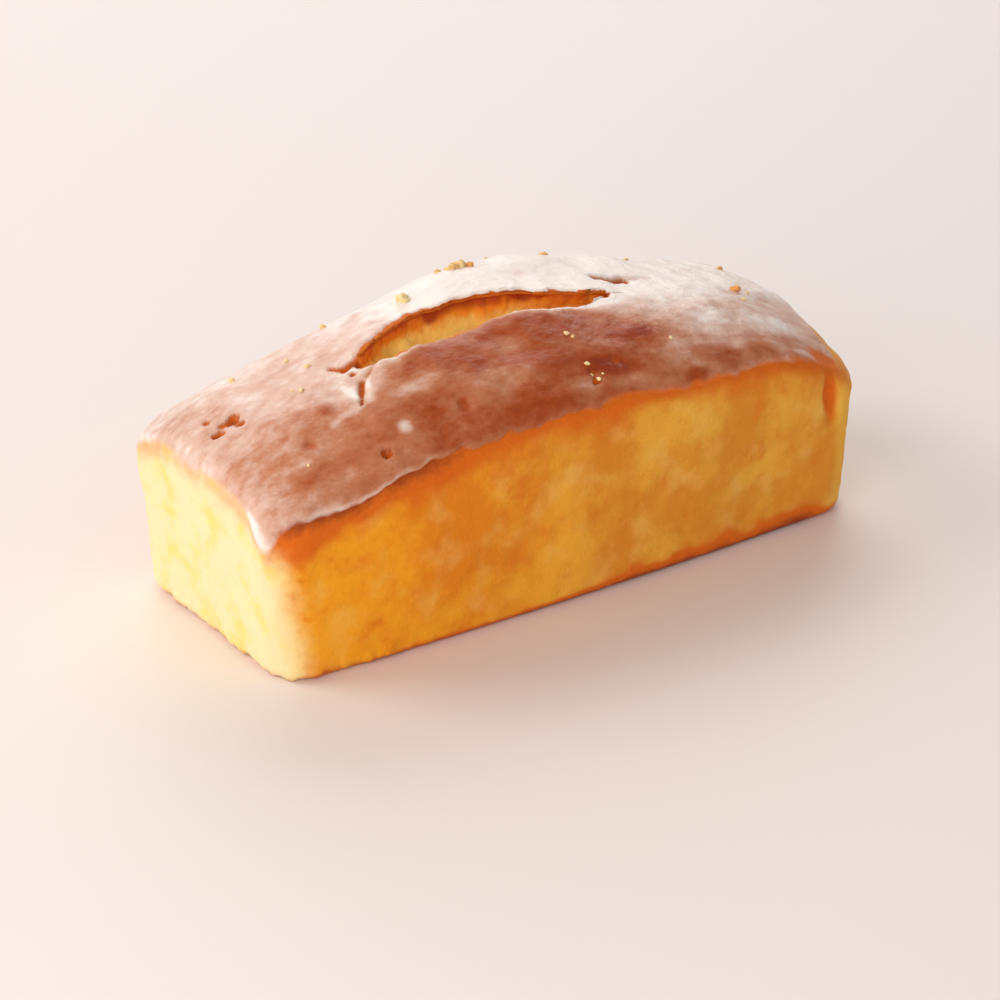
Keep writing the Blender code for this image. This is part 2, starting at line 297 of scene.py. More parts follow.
def boxed_grid(columns, rows, levels):
    """The top and the four sides of a box as a grid: each place's column, row and level, and the faces.

    The faces' corners run anticlockwise as seen from outside. The lowest ring of places comes last."""
    column, row = np.meshgrid(np.arange(columns + 1), np.arange(rows + 1))
    top = np.arange(column.size).reshape(column.shape)
    faces = [np.stack([top[:-1, :-1], top[:-1, 1:], top[1:, 1:], top[1:, :-1]], -1).reshape(-1, 4)]
    rim = np.concatenate([top[0, :-1], top[:-1, -1], top[-1, :0:-1], top[:0:-1, 0]])
    rings = [rim] + [column.size + level * len(rim) + np.arange(len(rim)) for level in range(levels)]
    for upper, lower in zip(rings, rings[1:]):
        faces.append(np.stack([lower, np.roll(lower, -1), np.roll(upper, -1), upper], -1))
    places_column = np.concatenate([column.ravel()] + [column.ravel()[rim]] * levels)
    places_row = np.concatenate([row.ravel()] + [row.ravel()[rim]] * levels)
    level = np.concatenate([np.zeros(column.size, int), np.repeat(np.arange(1, levels + 1), len(rim))])
    return places_column, places_row, level, np.concatenate(faces), rings[-1]


def crown_surface(x_line, share):
    """The risen top, torn open along the split, for grid lines on and inside the shoulder."""
    width = half_width(x_line)
    y_line = line_across(share, x_line)
    x, y = rounded_plan(x_line, y_line, HALF_LENGTH, width, CORNER_RADIUS)
    depth = np.minimum(HALF_LENGTH - np.abs(x_line), width - np.abs(y_line))
    z = dome(x, y) - shoulder_drop(depth)
    z += TOP_RELIEF * ripple(x, y, 0, 0.017, 1.0) * np.clip(depth / 0.006, 0, 1)
    z += lip_rise(x, y) * np.clip(depth / 0.02, 0, 1)
    return x, y, z


def pinched(x, y, z):
    """1 along the pinch in the long side, fading to 0 beside it and towards the base."""
    line = PINCH_X + 0.0008 * ripple(0, 0, z, 0.008, 42.0)
    return hump(x - line, PINCH_WIDTH) * (y < 0) * fade(z, *PINCH_LOW_END)


def side_profile(travel, wall_top):
    """Inset and height of the side, this far down it from the top of its shoulder."""
    turn = SHOULDER_START + np.minimum(travel, SHOULDER_ARC) / SHOULDER_RADIUS
    straight = np.clip(travel - SHOULDER_ARC, 0, None)
    return SHOULDER_RADIUS * (1 - np.sin(turn)), wall_top + SHOULDER_RADIUS * np.cos(turn) - straight


def loaf_surface(column, row_share, travel, base_turn):
    """Places on the whole outside of the loaf, before its crumb and pores.

    travel is how far down the side a place lies, from the top of the shoulder, as a share of the way to the
    base edge. base_turn is how far round the base edge it lies, from 0 to 1."""
    x_line = (2 * column / COLUMNS - 1) * (HALF_LENGTH - SHOULDER_INSET)
    x, y, z = crown_surface(x_line, row_share)
    wall_top = z - (SHOULDER_RADIUS - shoulder_drop(SHOULDER_INSET))
    way = SHOULDER_ARC + wall_top - BASE_RADIUS
    inset, height = side_profile(travel * way, wall_top)
    turn = base_turn * math.pi / 2
    inset += BASE_RADIUS * (1 - np.cos(turn))
    height -= BASE_RADIUS * np.sin(turn)
    below = np.clip(wall_top - height, 0, None)
    length = HALF_LENGTH - inset - below * math.tan(END_DRAFT)
    width = half_width(x_line) - inset - below * math.tan(SIDE_DRAFT)
    along = x_line * length / (HALF_LENGTH - SHOULDER_INSET)
    across = line_across(row_share, x_line) * width / (half_width(x_line) - SHOULDER_INSET)
    side_x, side_y = rounded_plan(along, across, length, width, CORNER_RADIUS - inset)
    swell = WALL_RELIEF * ripple(side_x, side_y, height, 0.021, 5.0)
    swell *= np.clip(height / 0.010, 0, 1) * np.clip(below / 0.010, 0, 1)
    swell -= PINCH_DEPTH * pinched(side_x, side_y, height)
    out_x, out_y = side_x / HALF_LENGTH**2, side_y / half_width(side_x) ** 2
    out = np.hypot(out_x, out_y)
    on_side = (travel > 0) | (base_turn > 0)
    x = np.where(on_side, side_x + swell * out_x / out, x)
    y = np.where(on_side, side_y + swell * out_y / out, y)
    return np.stack([x, y, np.where(on_side, height, z)], -1), travel * way


def outward(points, faces):
    """The outward direction at each place of a grid of four-cornered faces."""
    corners = points[faces]
    across = np.cross(corners[:, 2] - corners[:, 0], corners[:, 3] - corners[:, 1])
    sums = np.zeros_like(points)
    for corner in range(4):
        np.add.at(sums, faces[:, corner], across)
    return sums / np.linalg.norm(sums, axis=1, keepdims=True)


def eased(points, faces, share, rounds):
    """Places drawn towards the middle of their neighbours by a share of the way, again and again."""
    pairs = np.concatenate([faces[:, [k, (k + 1) % 4]] for k in range(4)])
    count = np.bincount(pairs[:, 0], minlength=len(points))
    for _ in range(rounds):
        sums = [np.bincount(pairs[:, 0], points[pairs[:, 1], axis], len(points)) for axis in range(3)]
        points = points + share[:, None] * (np.stack(sums, -1) / count[:, None] - points)
    return points


def made_piece(name, points, faces, material):
    """A new object at the origin, with smooth shading and one material."""
    mesh = bpy.data.meshes.new(name)
    mesh.from_pydata(points.tolist(), [], faces)
    mesh.update()
    mesh.shade_smooth()
    mesh.materials.append(material)
    piece = bpy.data.objects.new(name, mesh)
    bpy.context.scene.collection.objects.link(piece)
    return piece


def keep_values(piece, name, values):
    """Stores one number for each place of the mesh, for the material to read."""
    attribute = piece.data.attributes.new(name, "FLOAT", "POINT")
    attribute.data.foreach_set("value", values.astype(np.float32))


row_shares = np.concatenate(
    [
        np.arange(EDGE_ROWS) / EDGE_ROWS,
        1 + np.arange(FLANK_ROWS) / FLANK_ROWS,
        2 + np.arange(SPLIT_ROWS) / SPLIT_ROWS,
        3 + np.arange(FLANK_ROWS) / FLANK_ROWS,
        4 + np.arange(EDGE_ROWS + 1) / EDGE_ROWS,
    ]
)
# Inside the split the rows crowd towards the two steep walls
in_split = (row_shares > 2) & (row_shares < 3)
part_across = row_shares[in_split] - 2
row_shares[in_split] = 2 + np.interp(part_across, (0, 0.3, 0.7, 1), (0, 0.16, 0.84, 1))

column, row, level, faces, base_ring = boxed_grid(COLUMNS, len(row_shares) - 1, SIDE_LEVELS + BASE_LEVELS)
row_share = row_shares[row]
travel_share = np.clip(level / SIDE_LEVELS, 0, 1)
base_turn = np.clip((level - SIDE_LEVELS) / BASE_LEVELS, 0, 1)
whole_skin, travel = loaf_surface(column, row_share, travel_share, base_turn)
# The fold where the top meets its shoulder is soft
from_fold = np.minimum(np.minimum(column, COLUMNS - column), np.minimum(row, len(row_shares) - 1 - row))
near_fold = np.where(level == 0, 1 - fade(from_fold, 6, 14), 1 - fade(level, 8, 15))
whole_skin = eased(whole_skin, faces, 0.5 * near_fold, 30)
skin_outward = outward(whole_skin, faces)
x, y, z = whole_skin.T
on_top = level == 0
swelling = ripples(x, y, z, (0.00020, 0.0075, 43.0), (0.00010, 0.0036, 44.0))
mark = np.where(on_top, marks(x, y), 0)
whole_skin += skin_outward * (swelling * (1 - fade(travel, 0.004, 0.010)) - mark)[:, None]

# The torn crumb: the places between the lips sink, and the walls lean back under the crust. A ridge of
# crumb stands in the left half, and a chunk in the right half
x, y, z = whole_skin.T
across_split = np.clip(row_share - 2, 0, 1) * on_top
split_depth = lips(x)[2]
sunk = np.interp(across_split, SPLIT_ACROSS, SPLIT_SHARES) * split_depth
ridge, chunk = [
    hump(x - place, reach) * hump(across_split - share, share_reach)
    for place, reach, share, share_reach, _ in (RIDGE, CHUNK)
]
sunk *= 1 - RIDGE[4] * ridge - CHUNK[4] * chunk
torn = fade(sunk, 0.0, 0.0012)
uneven = 1 + 0.26 * ripple(x, y, 0, 0.009, 7.0) * np.clip(across_split * (1 - across_split) * 6, 0, 1)
lean = UNDERCUT * np.sin(math.pi * np.clip(across_split / 0.3, 0, 1))
lean -= UNDERCUT * np.sin(math.pi * np.clip((1 - across_split) / 0.3, 0, 1))
loaf_points = whole_skin.copy()
loaf_points[:, 2] -= sunk * uneven
loaf_points[:, 1] -= lean * fade(split_depth, 0.002, 0.006) * (sunk > 0)
loaf_outward = outward(loaf_points, faces)

# Relief: torn crumb is lumpy and stringy, the bare walls have small wrinkles and open pores
x, y, z = loaf_points.T
lumps = ripples(x, y, z, (0.00070, 0.0036, 21.0), (0.00045, 0.0017, 22.0))
strings = 0.00012 * ripple(x * 2.2, y * 0.6, z * 0.6, 0.0030, 23.0)
evenly_torn = hump(x + 0.013, 0.009)
crumbly = torn * (lumps + strings) * (1 - 0.75 * evenly_torn)
bare = fade(travel, 0.0015, 0.0060)
wrinkles = ripples(x, y, z, (0.00016, 0.0052, 24.0), (0.00007, 0.0019, 25.0))
pores = np.zeros(len(x))
for spot in np.flatnonzero(bare > 0.05):
    near, centres = noise.voronoi(Vector(loaf_points[spot]) / PORE_SPACING)
    wide = PORE_WIDTHS[0] + (PORE_WIDTHS[1] - PORE_WIDTHS[0]) * noise.cell(centres[0] * 7.0)
    pores[spot] = max(0.0, 1 - (near[0] / max(wide, 0.02)) ** 2) * (wide > 0.12)
relief = crumbly + bare * (wrinkles - PORE_DEPTH * pores * (1 - pinched(x, y, z)))
relief *= np.clip(z / 0.003, 0, 1)
crumbling = 0.00055 * ripple(x, y, 0.5 * z, 0.0034, 51.0) + 0.00025 * ripple(x, y, z, 0.0016, 52.0)
at_left_base = (1 - fade(z, 0.0025, 0.0065)) * (1 - fade(x, -0.050, -0.030)) * (level < SIDE_LEVELS + 4)
relief += crumbling * at_left_base
loaf_points += loaf_outward * relief[:, None]
loaf_points[:, 2] = np.maximum(loaf_points[:, 2], 0)

# How brown the crust is at each place: the crown, a band under the shoulder, the pinch in the side, and
# the edge round the base, whose darkening is partly painted contact shadow
x, y, z = loaf_points.T
long_side = fade(np.abs(whole_skin[:, 1]) - half_width(x), -0.011, -0.003)
front_side = long_side * (y < 0)
patchy = ripples(x, y, z, (1.0, 0.011, 31.0), (0.5, 0.0040, 32.0))
# How brown the band under the icing is along the front, and how dark the base edge is there, from brown
# crust and painted contact shadow
BAND_STATIONS = (-0.087, -0.079, -0.066, -0.052, -0.020, 0.025, 0.050, 0.087)
BAND_BROWN = (0.30, 0.85, 0.95, 0.90, 0.85, 0.78, 0.60, 0.40)
END_BAND_BROWN = 0.31
BASE_STATIONS = (-0.087, -0.060, 0.010, 0.066, 0.080)
BASE_BROWN_AND_SHADE = (0.25, 0.50, 1.45, 1.60, 0.50)
front_band = np.interp(x, BAND_STATIONS, BAND_BROWN)
back_band = 0.42 + 0.15 * ripple(x, 0, 0, 0.030, 33.0)
strength = np.where(y < 0, front_band, back_band) * long_side + END_BAND_BROWN * (1 - long_side)
band = (0.0040 + 0.0014 * long_side) * (1 + 0.40 * patchy)
start_of_band = 0.0062 + 0.0024 * (1 - long_side)
below_band = np.clip(travel - start_of_band, 0, None)
browned = np.exp(-below_band / np.clip(band, 0.0008, None)) * strength
flaky = np.clip(0.98 + 0.30 * patchy, 0.5, 1.3)
flaky_reach = 0.0050 + 0.0028 * (1 - fade(x, -0.078, -0.066)) + 0.0012 * ripple(x, y, z, 0.0050, 54.0)
browned += flaky * hump(below_band, flaky_reach) * front_side * (1 - fade(x, -0.058, -0.030))
upper = (1 - fade(travel, 0.0010, 0.0065)) * (0.25 + 0.75 * front_side + 0.15 * (long_side - front_side))
upper *= 1 - 0.7 * fade(x, 0.0765, 0.0805)
browned += np.clip(1 - browned, 0, 1) * upper
# The front lip of the split is pale where the icing stays back, and the hollows in the crust are dark
front, _, depth_here = lips(x)
pale_lip = hump(front - whole_skin[:, 1], 0.0015) * fade(depth_here, 0.0005, 0.0030)
crown_brown = 1 - 0.50 * pale_lip * (1 - fade(x, -0.002, 0.004)) + 0.30 * fade(mark, 0.0003, 0.0010)
browned = np.where(on_top, crown_brown, browned)
base_strength = np.interp(x, BASE_STATIONS, BASE_BROWN_AND_SHADE) * front_side
base_strength = np.maximum(base_strength, 0.35 * (1 - long_side) + 0.6 * long_side * (y > 0))
base_reach = (0.0016 + 0.0026 * fade(x, -0.02, 0.04)) * (1 + 0.3 * patchy)
# The base edge is darker for brown crust and for painted contact shadow, most towards the right of the
# front
base_crust_and_shade = hump(np.clip(z - 0.0004, 0, None), base_reach) * base_strength
browned = np.maximum(browned, np.clip(base_crust_and_shade * (1 + 0.10 * patchy), 0, 1.6) * np.clip(level / 4, 0, 1))
# Down in the pinch, and a faint patch below it
browned = np.maximum(browned, 0.92 * pinched(x, y, z) * long_side)
low_patch = hump(x - 0.0732, 0.0026) * hump(z - 0.0170, 0.0065) * front_side
browned = np.maximum(browned, 0.16 * low_patch)
# How deep a place lies in the torn crumb, from 0 on the crust to 1 at the bottom, and how dark it is:
# scorched crust near the lips, and a painted shadow in a notch under the back lip
depth_in_split = (sunk - crumbly) / 0.0075 + 0.40 * ridge + 0.2 * chunk
depth_in_split += 0.10 * fade(across_split, 0.60, 0.80) * (1 - fade(x, -0.029, -0.023))
depth_in_split = np.maximum(depth_in_split, 0.8 * np.clip(1 - across_split / 0.25, 0, 1))
depth_in_split = np.where(torn > 0, np.clip(depth_in_split, 0.03, 1), 0)
near_crust = fade(across_split, 0.5, 0.7) * (1 - fade(sunk, 0.0018, 0.0046))
# Painted shadow: a dark patch up under the back lip, left of the middle, where shade falls
notch_shadow = hump(x + 0.0188, 0.0021) * fade(across_split, 0.5, 0.7)
scorched_and_shadow = 1.1 * notch_shadow * (1 - fade(sunk, 0.0014, 0.0056))
scorched_and_shadow += 0.20 * near_crust * (1 - fade(x, -0.030, -0.022))
in_middle = fade(x, -0.021, -0.014) * (1 - fade(x, 0.006, 0.014))
pale_gap = hump(x - 0.0010, 0.0010)
scorched_and_shadow += 0.64 * near_crust * in_middle * (1 - 0.6 * pale_gap)
lumps_right = fade(ripple(x, y, z, 0.0042, 53.0), 0.1, 0.9) * fade(x, -0.004, 0.002)
scorched_and_shadow += 0.42 * lumps_right * fade(across_split, 0.2, 0.5) * fade(split_depth, 0.001, 0.004)
browned = np.where(torn > 0.05, np.clip(scorched_and_shadow, 0, 1), browned)


class Wire:
    """An output of a material's nodes, so that sums on it are written as plain expressions."""

    def __init__(self, tree, socket):
        self.tree = tree
        self.socket = socket

    def node(self, kind, settings=None, sockets=None, output=0):
        """Adds a node of this type, sets its settings, fills its sockets, and gives one of its outputs."""
        added = self.tree.nodes.new(kind)
        for name, value in (settings or {}).items():
            setattr(added, name, value)
        for name, value in (sockets or {}).items():
            if isinstance(value, Wire):
                self.tree.links.new(value.socket, added.inputs[name])
            else:
                added.inputs[name].default_value = value
        return Wire(self.tree, added.outputs[output])

    def maths(self, operation, *values):
        return self.node("ShaderNodeMath", {"operation": operation}, dict(enumerate(values)))

    def __add__(self, other):
        return self.maths("ADD", self, other)

    def __radd__(self, other):
        return self.maths("ADD", other, self)

    def __sub__(self, other):
        return self.maths("SUBTRACT", self, other)

    def __rsub__(self, other):
        return self.maths("SUBTRACT", other, self)

    def __mul__(self, other):
        return self.maths("MULTIPLY", self, other)

    def __rmul__(self, other):
        return self.maths("MULTIPLY", other, self)

    def rise(self, low, high):
        """0 below low and 1 above high, with a smooth rise between."""
        sockets = {"Value": self, "From Min": low, "From Max": high}
        return self.node("ShaderNodeMapRange", {"interpolation_type": "SMOOTHSTEP"}, sockets)

    def stretched(self, scale):
        """This vector with each of its axes scaled."""
        return self.node("ShaderNodeVectorMath", {"operation": "MULTIPLY"}, {0: self, 1: scale})

    def noise(self, size, detail=2.0, roughness=0.5):
        """Smooth noise from 0 to 1 at these places, with bumps of about this size in metres."""
        sockets = {"Vector": self, "Scale": 1 / size, "Detail": detail, "Roughness": roughness}
        return self.node("ShaderNodeTexNoise", None, sockets)

    def blended(self, first, second):
        """A colour between two, by this share of the second."""
        return self.node("ShaderNodeMix", {"data_type": "RGBA"}, {0: self, 6: first, 7: second}, output=2)

    def stored(self, name):
        """The number that the mesh keeps under this name."""
        return self.node("ShaderNodeAttribute", {"attribute_name": name}, output=2)

    def bumps(self, strength, distance):
        """This height as bumps for the shader."""
        sockets = {"Strength": strength, "Distance": distance, "Height": self}
        return self.node("ShaderNodeBump", None, sockets)


def linear(red, green, blue):
    """A colour given as it looks on screen, from 0 to 255, as the shader takes it."""
    parts = [c / 255 for c in (red, green, blue)]
    return (*[c / 12.92 if c <= 0.04045 else ((c + 0.055) / 1.055) ** 2.4 for c in parts], 1.0)


def new_finish(name):
    """An empty material: its shader, and a wire to start from."""
    finish = bpy.data.materials.new(name)
    finish.use_nodes = True
    shader = finish.node_tree.nodes["Principled BSDF"]
    return finish, shader, Wire(finish.node_tree, None)


def plug(shader, **values):
    """Fills the shader's sockets with wires and constants. Underscores stand for spaces in their names."""
    for name, value in values.items():
        socket = shader.inputs[name.replace("_", " ")]
        if isinstance(value, Wire):
            value.tree.links.new(value.socket, socket)
        else:
            socket.default_value = value


END_CREAM_AND_LIGHT = linear(252, 230, 180)
END_YELLOW = linear(252, 220, 118)
SIDE_GOLD_LEFT = linear(247, 166, 26)
SIDE_GOLD_RIGHT = linear(240, 178, 62)
SIDE_AMBER_LEFT = linear(234, 134, 12)
SIDE_AMBER_RIGHT = linear(226, 146, 40)
SIDE_STRAW = linear(250, 200, 110)
SIDE_YELLOW = linear(252, 194, 66)
LIT_CORNER_CREAM = linear(253, 222, 150)
CRUST_ORANGE = linear(224, 108, 12)
CRUST_BROWN = linear(150, 56, 12)
TORN_DARK = linear(156, 44, 8)
TORN_BROWN = linear(210, 86, 14)
TORN_ORANGE = linear(240, 144, 36)
TORN_YELLOW = linear(254, 212, 114)


def sponge_colour(start):
    """The colour of the bare cake, and the places it is worked out from.

    It is cream on the ends and golden on the long sides, and darker where it is browned. The cream on the
    left end and on the long sides near it is partly painted light, from the bright lamp on the left."""
    places = start.node("ShaderNodeTexCoord", output=3)
    x, y, z = [places.node("ShaderNodeSeparateXYZ", None, {0: places}, output=axis) for axis in range(3)]
    browning = start.stored("browned")
    depth = start.stored("torn")
    broad = places.noise(0.026, 3, 0.5)
    flecks = places.noise(0.0070, 4, 0.6)
    pale = places.noise(0.0095, 3, 0.5)
    grain = places.noise(0.0024, 3, 0.6)
    rightward = (x + y * 0.6).rise(-0.085, 0.015)
    gold = rightward.blended(SIDE_GOLD_LEFT, SIDE_GOLD_RIGHT)
    amber = rightward.blended(SIDE_AMBER_LEFT, SIDE_AMBER_RIGHT)
    # Painted light: the ends are pale cream, which on the left end also stands for the bright lamp light
    # falling on it
    end = (pale.rise(0.46, 0.70) * 0.8).blended(END_CREAM_AND_LIGHT, END_YELLOW)
    end = (x.rise(0.0, 0.04) * 0.45).blended(end, SIDE_GOLD_RIGHT)
    side = (broad * 0.8 + flecks * 0.4).rise(0.48, 0.72).blended(gold, amber)
    side = (pale.rise(0.48, 0.74) * 0.36).blended(side, SIDE_STRAW)
    side = (flecks.rise(0.58, 0.72) * 0.35).blended(side, CRUST_ORANGE)
    side = (x.rise(0.0755, 0.0790) * 0.6).blended(side, SIDE_YELLOW)
    wide = (y.maths("ABSOLUTE", y) + (flecks - 0.5) * 0.004).rise(0.0290, 0.0350)
    # Painted light: the long sides turn cream near their left ends, where the light from the left catches
    # the corner
    along = (x + (flecks - 0.5) * 0.008 + z * 0.14).rise(-0.0815, -0.0735)
    colour = wide.blended(end, along.blended(LIT_CORNER_CREAM, side))
    orange = (browning * 1.3 + (flecks - 0.5) * 0.5).rise(0.08, 0.85)
    specks = places.noise(0.0011, 2, 0.6)
    brown = (browning + (flecks - 0.5) * 0.7 + (grain - 0.5) * 0.5 + (specks - 0.5) * 0.6).rise(0.78, 1.72)
    colour = orange.blended(colour, CRUST_ORANGE)
    colour = (brown * 0.85).blended(colour, CRUST_BROWN)
    deep = depth + (grain - 0.5) * 0.35 + (flecks - 0.5) * 0.30
    crumb = deep.rise(0.05, 0.45).blended(TORN_BROWN, TORN_ORANGE)
    crumb = deep.rise(0.42, 0.88).blended(crumb, TORN_YELLOW)
    crumb = ((browning + (grain - 0.5) * 0.5).rise(0.15, 0.90) * 0.9).blended(crumb, TORN_DARK)
    return depth.rise(0.005, 0.025).blended(colour, crumb), places


sponge, shader, start = new_finish("baked_sponge")
colour, places = sponge_colour(start)
grain = places.noise(0.0009, 4, 0.7)
cells = places.node("ShaderNodeTexVoronoi", None, {"Vector": places, "Scale": 1 / 0.0016})
holes = 1 - cells.rise(0.10, 0.42)
bumps = (grain * 0.7 - holes * 0.25).bumps(0.4, 0.0006)
plug(shader, Base_Color=colour, Normal=bumps, Roughness=0.62 + grain * 0.2, Specular_IOR_Level=0.25)
plug(shader, Subsurface_Weight=0.25, Subsurface_Radius=(1.0, 0.55, 0.18), Subsurface_Scale=0.004)

loaf_faces = faces.tolist() + [base_ring[::-1].tolist()]
loaf = made_piece("loaf_sponge", loaf_points, loaf_faces, sponge)
keep_values(loaf, "browned", browned)
keep_values(loaf, "torn", depth_in_split)
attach(loaf, "root")
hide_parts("loaf")


# The icing. Sugar and lemon juice brushed on while the cake was warm, so that it ran over the shoulder and
# set as a thin translucent glaze: whitish where it is thick, and pinkish brown where the crust shows.

ICING_DROP = 0.0030
ICING_EDGE_WAVE = 0.0013
LEAST_DROP = 0.0012
# How far the icing hangs along the front, at stations along X
FRONT_STATIONS = (-0.087, -0.078, -0.060, -0.040, -0.015, 0.010, 0.033, 0.050, 0.066, 0.080, 0.087)
FRONT_HANG = (0.0062, 0.0066, 0.0070, 0.0052, 0.0064, 0.0055, 0.0070, 0.0052, 0.0036, 0.0034, 0.0010)
# How far it hangs over the left end, at stations along Y
LEFT_STATIONS = (-0.036, -0.028, -0.016, -0.002, 0.007, 0.017, 0.032)
LEFT_HANG = (0.0064, 0.0086, 0.0082, 0.0082, 0.0092, 0.0074, 0.0070)
# Runs that hang lower than the edge: place along X, place along Y, extra drop, width
ICING_RUNS = (
    (-0.0850, -0.0300, 0.0078, 0.0036),
    (0.086, 0.010, 0.0050, 0.0080),
    (0.030, 0.038, 0.0055, 0.0070),
    (-0.038, 0.038, 0.0070, 0.0060),
    (-0.078, 0.036, 0.0040, 0.0080),
)
GLAZE_THICKNESS = 0.0006
# How deep the glaze's own underside lies in the crust
GLAZE_BED = 0.0004
# So far in from its edge the glaze has its full thickness
WELL_INSIDE = 0.010
# The corner at the right end of the front, which the icing leaves bare: place along X and Y, radius
BARE_CORNER = (0.0772, -0.0335, 0.0040)
LIP_EDGE_WIDTH = 0.0012
# How wide the hanging edge tapers, and how much of a bead it has, at stations along X
TAPER_STATIONS = (-0.087, -0.081, -0.060, -0.020, 0.030, 0.087)
TAPER_WIDTHS = (0.0066, 0.0044, 0.0018, 0.0018, 0.0034, 0.0042)
TAPER_BEAD = (0.0, 0.2, 0.7, 0.6, 0.1, 0.0)
# How far the icing stays back from the front lip of the split, at stations along X
BARE_STATIONS = (-0.052, -0.044, -0.020, 0.000, 0.007, 0.030)
BARE_LIP = (0.0002, 0.0006, 0.0004, 0.0004, 0.0, 0.0)
# And from the back lip
BACK_STATIONS = (-0.046, -0.040, -0.024, -0.018)
BARE_BACK = (0.0003, 0.0014, 0.0012, 0.0004)

x, y, z = whole_skin.T
front_share = fade(-y, 0.026, 0.033)
hang = ICING_DROP * (1 - front_share) + np.interp(x, FRONT_STATIONS, FRONT_HANG) * front_share
left_share = fade(-x, 0.0800, 0.0845)
hang += (np.interp(y, LEFT_STATIONS, LEFT_HANG) - hang) * left_share
hang += ICING_EDGE_WAVE * ripple(x, y, 0, 0.014, 11.0) * (1 - 0.5 * front_share)
hang += (0.0004 + 0.0004 * front_share) * ripple(x, y, 0, 0.0042, 12.0)
for run_x, run_y, extra, run_width in ICING_RUNS:
    hang += extra * hump(np.hypot(x - run_x, y - run_y), run_width)
hang = np.maximum(hang, LEAST_DROP)
from_bare_corner = np.hypot(x - BARE_CORNER[0], 0.75 * (y - BARE_CORNER[1])) - BARE_CORNER[2]
from_edge = np.minimum(np.where(on_top, WELL_INSIDE, hang - travel), from_bare_corner)
front, back, depth_here = lips(x)
bare_front = np.interp(x, BARE_STATIONS, BARE_LIP) * (1 + 0.8 * ripple(x, 0, 0, 0.0028, 45.0))
bare_back = np.interp(x, BACK_STATIONS, BARE_BACK) + 0.0006 * ripple(x, 0, 0, 0.0030, 46.0)
from_lip = np.maximum(front - np.clip(bare_front, 0, None) - y, y - back - np.clip(bare_back, 0, None))
inside_split = np.minimum(across_split, 1 - across_split) * (back - front)
from_lip = np.where(inside_split > 0, -inside_split, from_lip)
open_here = fade(depth_here, 0.0002, 0.0016)
from_lip = from_lip * open_here + WELL_INSIDE * (1 - open_here)
inside_edge = np.minimum(from_edge, from_lip)
flow = ripples(x, y, z, (1.0, 0.016, 13.0), (0.5, 0.0062, 14.0))
thick = GLAZE_THICKNESS * (1 + 0.30 * flow) * (1 - 0.95 * np.clip((mark - 0.00020) / 0.00025, 0, 1))
edge_share = np.clip(from_edge / np.interp(x, TAPER_STATIONS, TAPER_WIDTHS), 0, 1)
bead = np.interp(x, TAPER_STATIONS, TAPER_BEAD)
edge_share = bead * np.sqrt(1 - (1 - edge_share) ** 2) + (1 - bead) * fade(edge_share, 0, 1)
lip_share = np.sqrt(1 - (1 - np.clip(from_lip / LIP_EDGE_WIDTH, 0, 1)) ** 2)
height_here = thick * np.minimum(edge_share, lip_share)
glaze = np.where(inside_edge > 0, height_here, np.clip(inside_edge * 1.2, -GLAZE_BED, 0))

# How white the glaze is at each place. Behind the crown and towards the ends it is white, partly sugar that
# pooled and dried white and partly a painted sheen, the reflection of the bright lamps behind the cake;
# down the front it ran off thin.
WHITE_STATIONS = (-0.087, -0.070, -0.056, -0.045, -0.038, -0.020, 0.012, 0.022, 0.032, 0.045, 0.087)
WHITE_LINE = (-0.006, -0.006, -0.013, -0.013, -0.010, -0.003, -0.008, -0.013, -0.014, -0.015, -0.015)
WHITE_WIDTH = (0.013, 0.010, 0.008, 0.007, 0.005, 0.004, 0.006, 0.009, 0.016, 0.020, 0.020)
WHITE_FRONT = (0.48, 0.43, 0.31, 0.27, 0.18, 0.14, 0.12, 0.18, 0.36, 0.49, 0.47)
WHITE_AND_SHEEN_BEHIND = (0.57, 0.64, 0.65, 0.66, 0.74, 0.89, 0.93, 0.95, 0.94, 0.93, 0.88)
# How white the line along the split's front lip is, and the one along the hanging edge in front
LIP_STATIONS = (-0.048, -0.040, 0.002, 0.010)
LIP_WHITE = (0.15, 0.46, 0.50, 1.0)
RIM_STATIONS = (-0.087, -0.060, -0.040, 0.030)
RIM_WHITE = (0.32, 0.28, 0.15, 0.10)
# Spots that are whiter or browner than the glaze around them: place in X and Y, reach in X and Y, how much
SUGAR_SPOTS = (
    (-0.0459, -0.0282, 0.0019, 0.0017, 0.55),
    (-0.0200, -0.0270, 0.0100, 0.0040, 0.22),
    (-0.0350, -0.0200, 0.0110, 0.0030, 0.28),
    (0.0190, -0.0225, 0.0040, 0.0025, -0.14),
    (0.0630, -0.0215, 0.0110, 0.0045, 0.24),
    (-0.0120, -0.0180, 0.0060, 0.0040, 0.18),
    (0.0010, -0.0340, 0.0060, 0.0020, 0.30),
    (0.0130, -0.0350, 0.0050, 0.0018, 0.30),
    (0.0308, -0.0315, 0.0052, 0.0036, 0.20),
    (0.0440, -0.0335, 0.0055, 0.0030, -0.32),
    (0.0552, -0.0325, 0.0052, 0.0028, -0.32),
    (0.0550, -0.0370, 0.0060, 0.0012, 0.22),
    (0.0700, -0.0270, 0.0060, 0.0030, -0.16),
    (0.0260, -0.0225, 0.0036, 0.0026, -0.20),
    (0.0105, -0.0318, 0.0035, 0.0026, -0.10),
    (0.0326, -0.0372, 0.0036, 0.0016, -0.32),
    (0.0462, -0.0380, 0.0020, 0.0012, -0.30),
    (-0.0583, -0.0132, 0.0022, 0.0020, -0.30),
    (-0.0700, -0.0290, 0.0060, 0.0030, -0.18),
    (0.0640, -0.0080, 0.0030, 0.0015, -0.25),
)
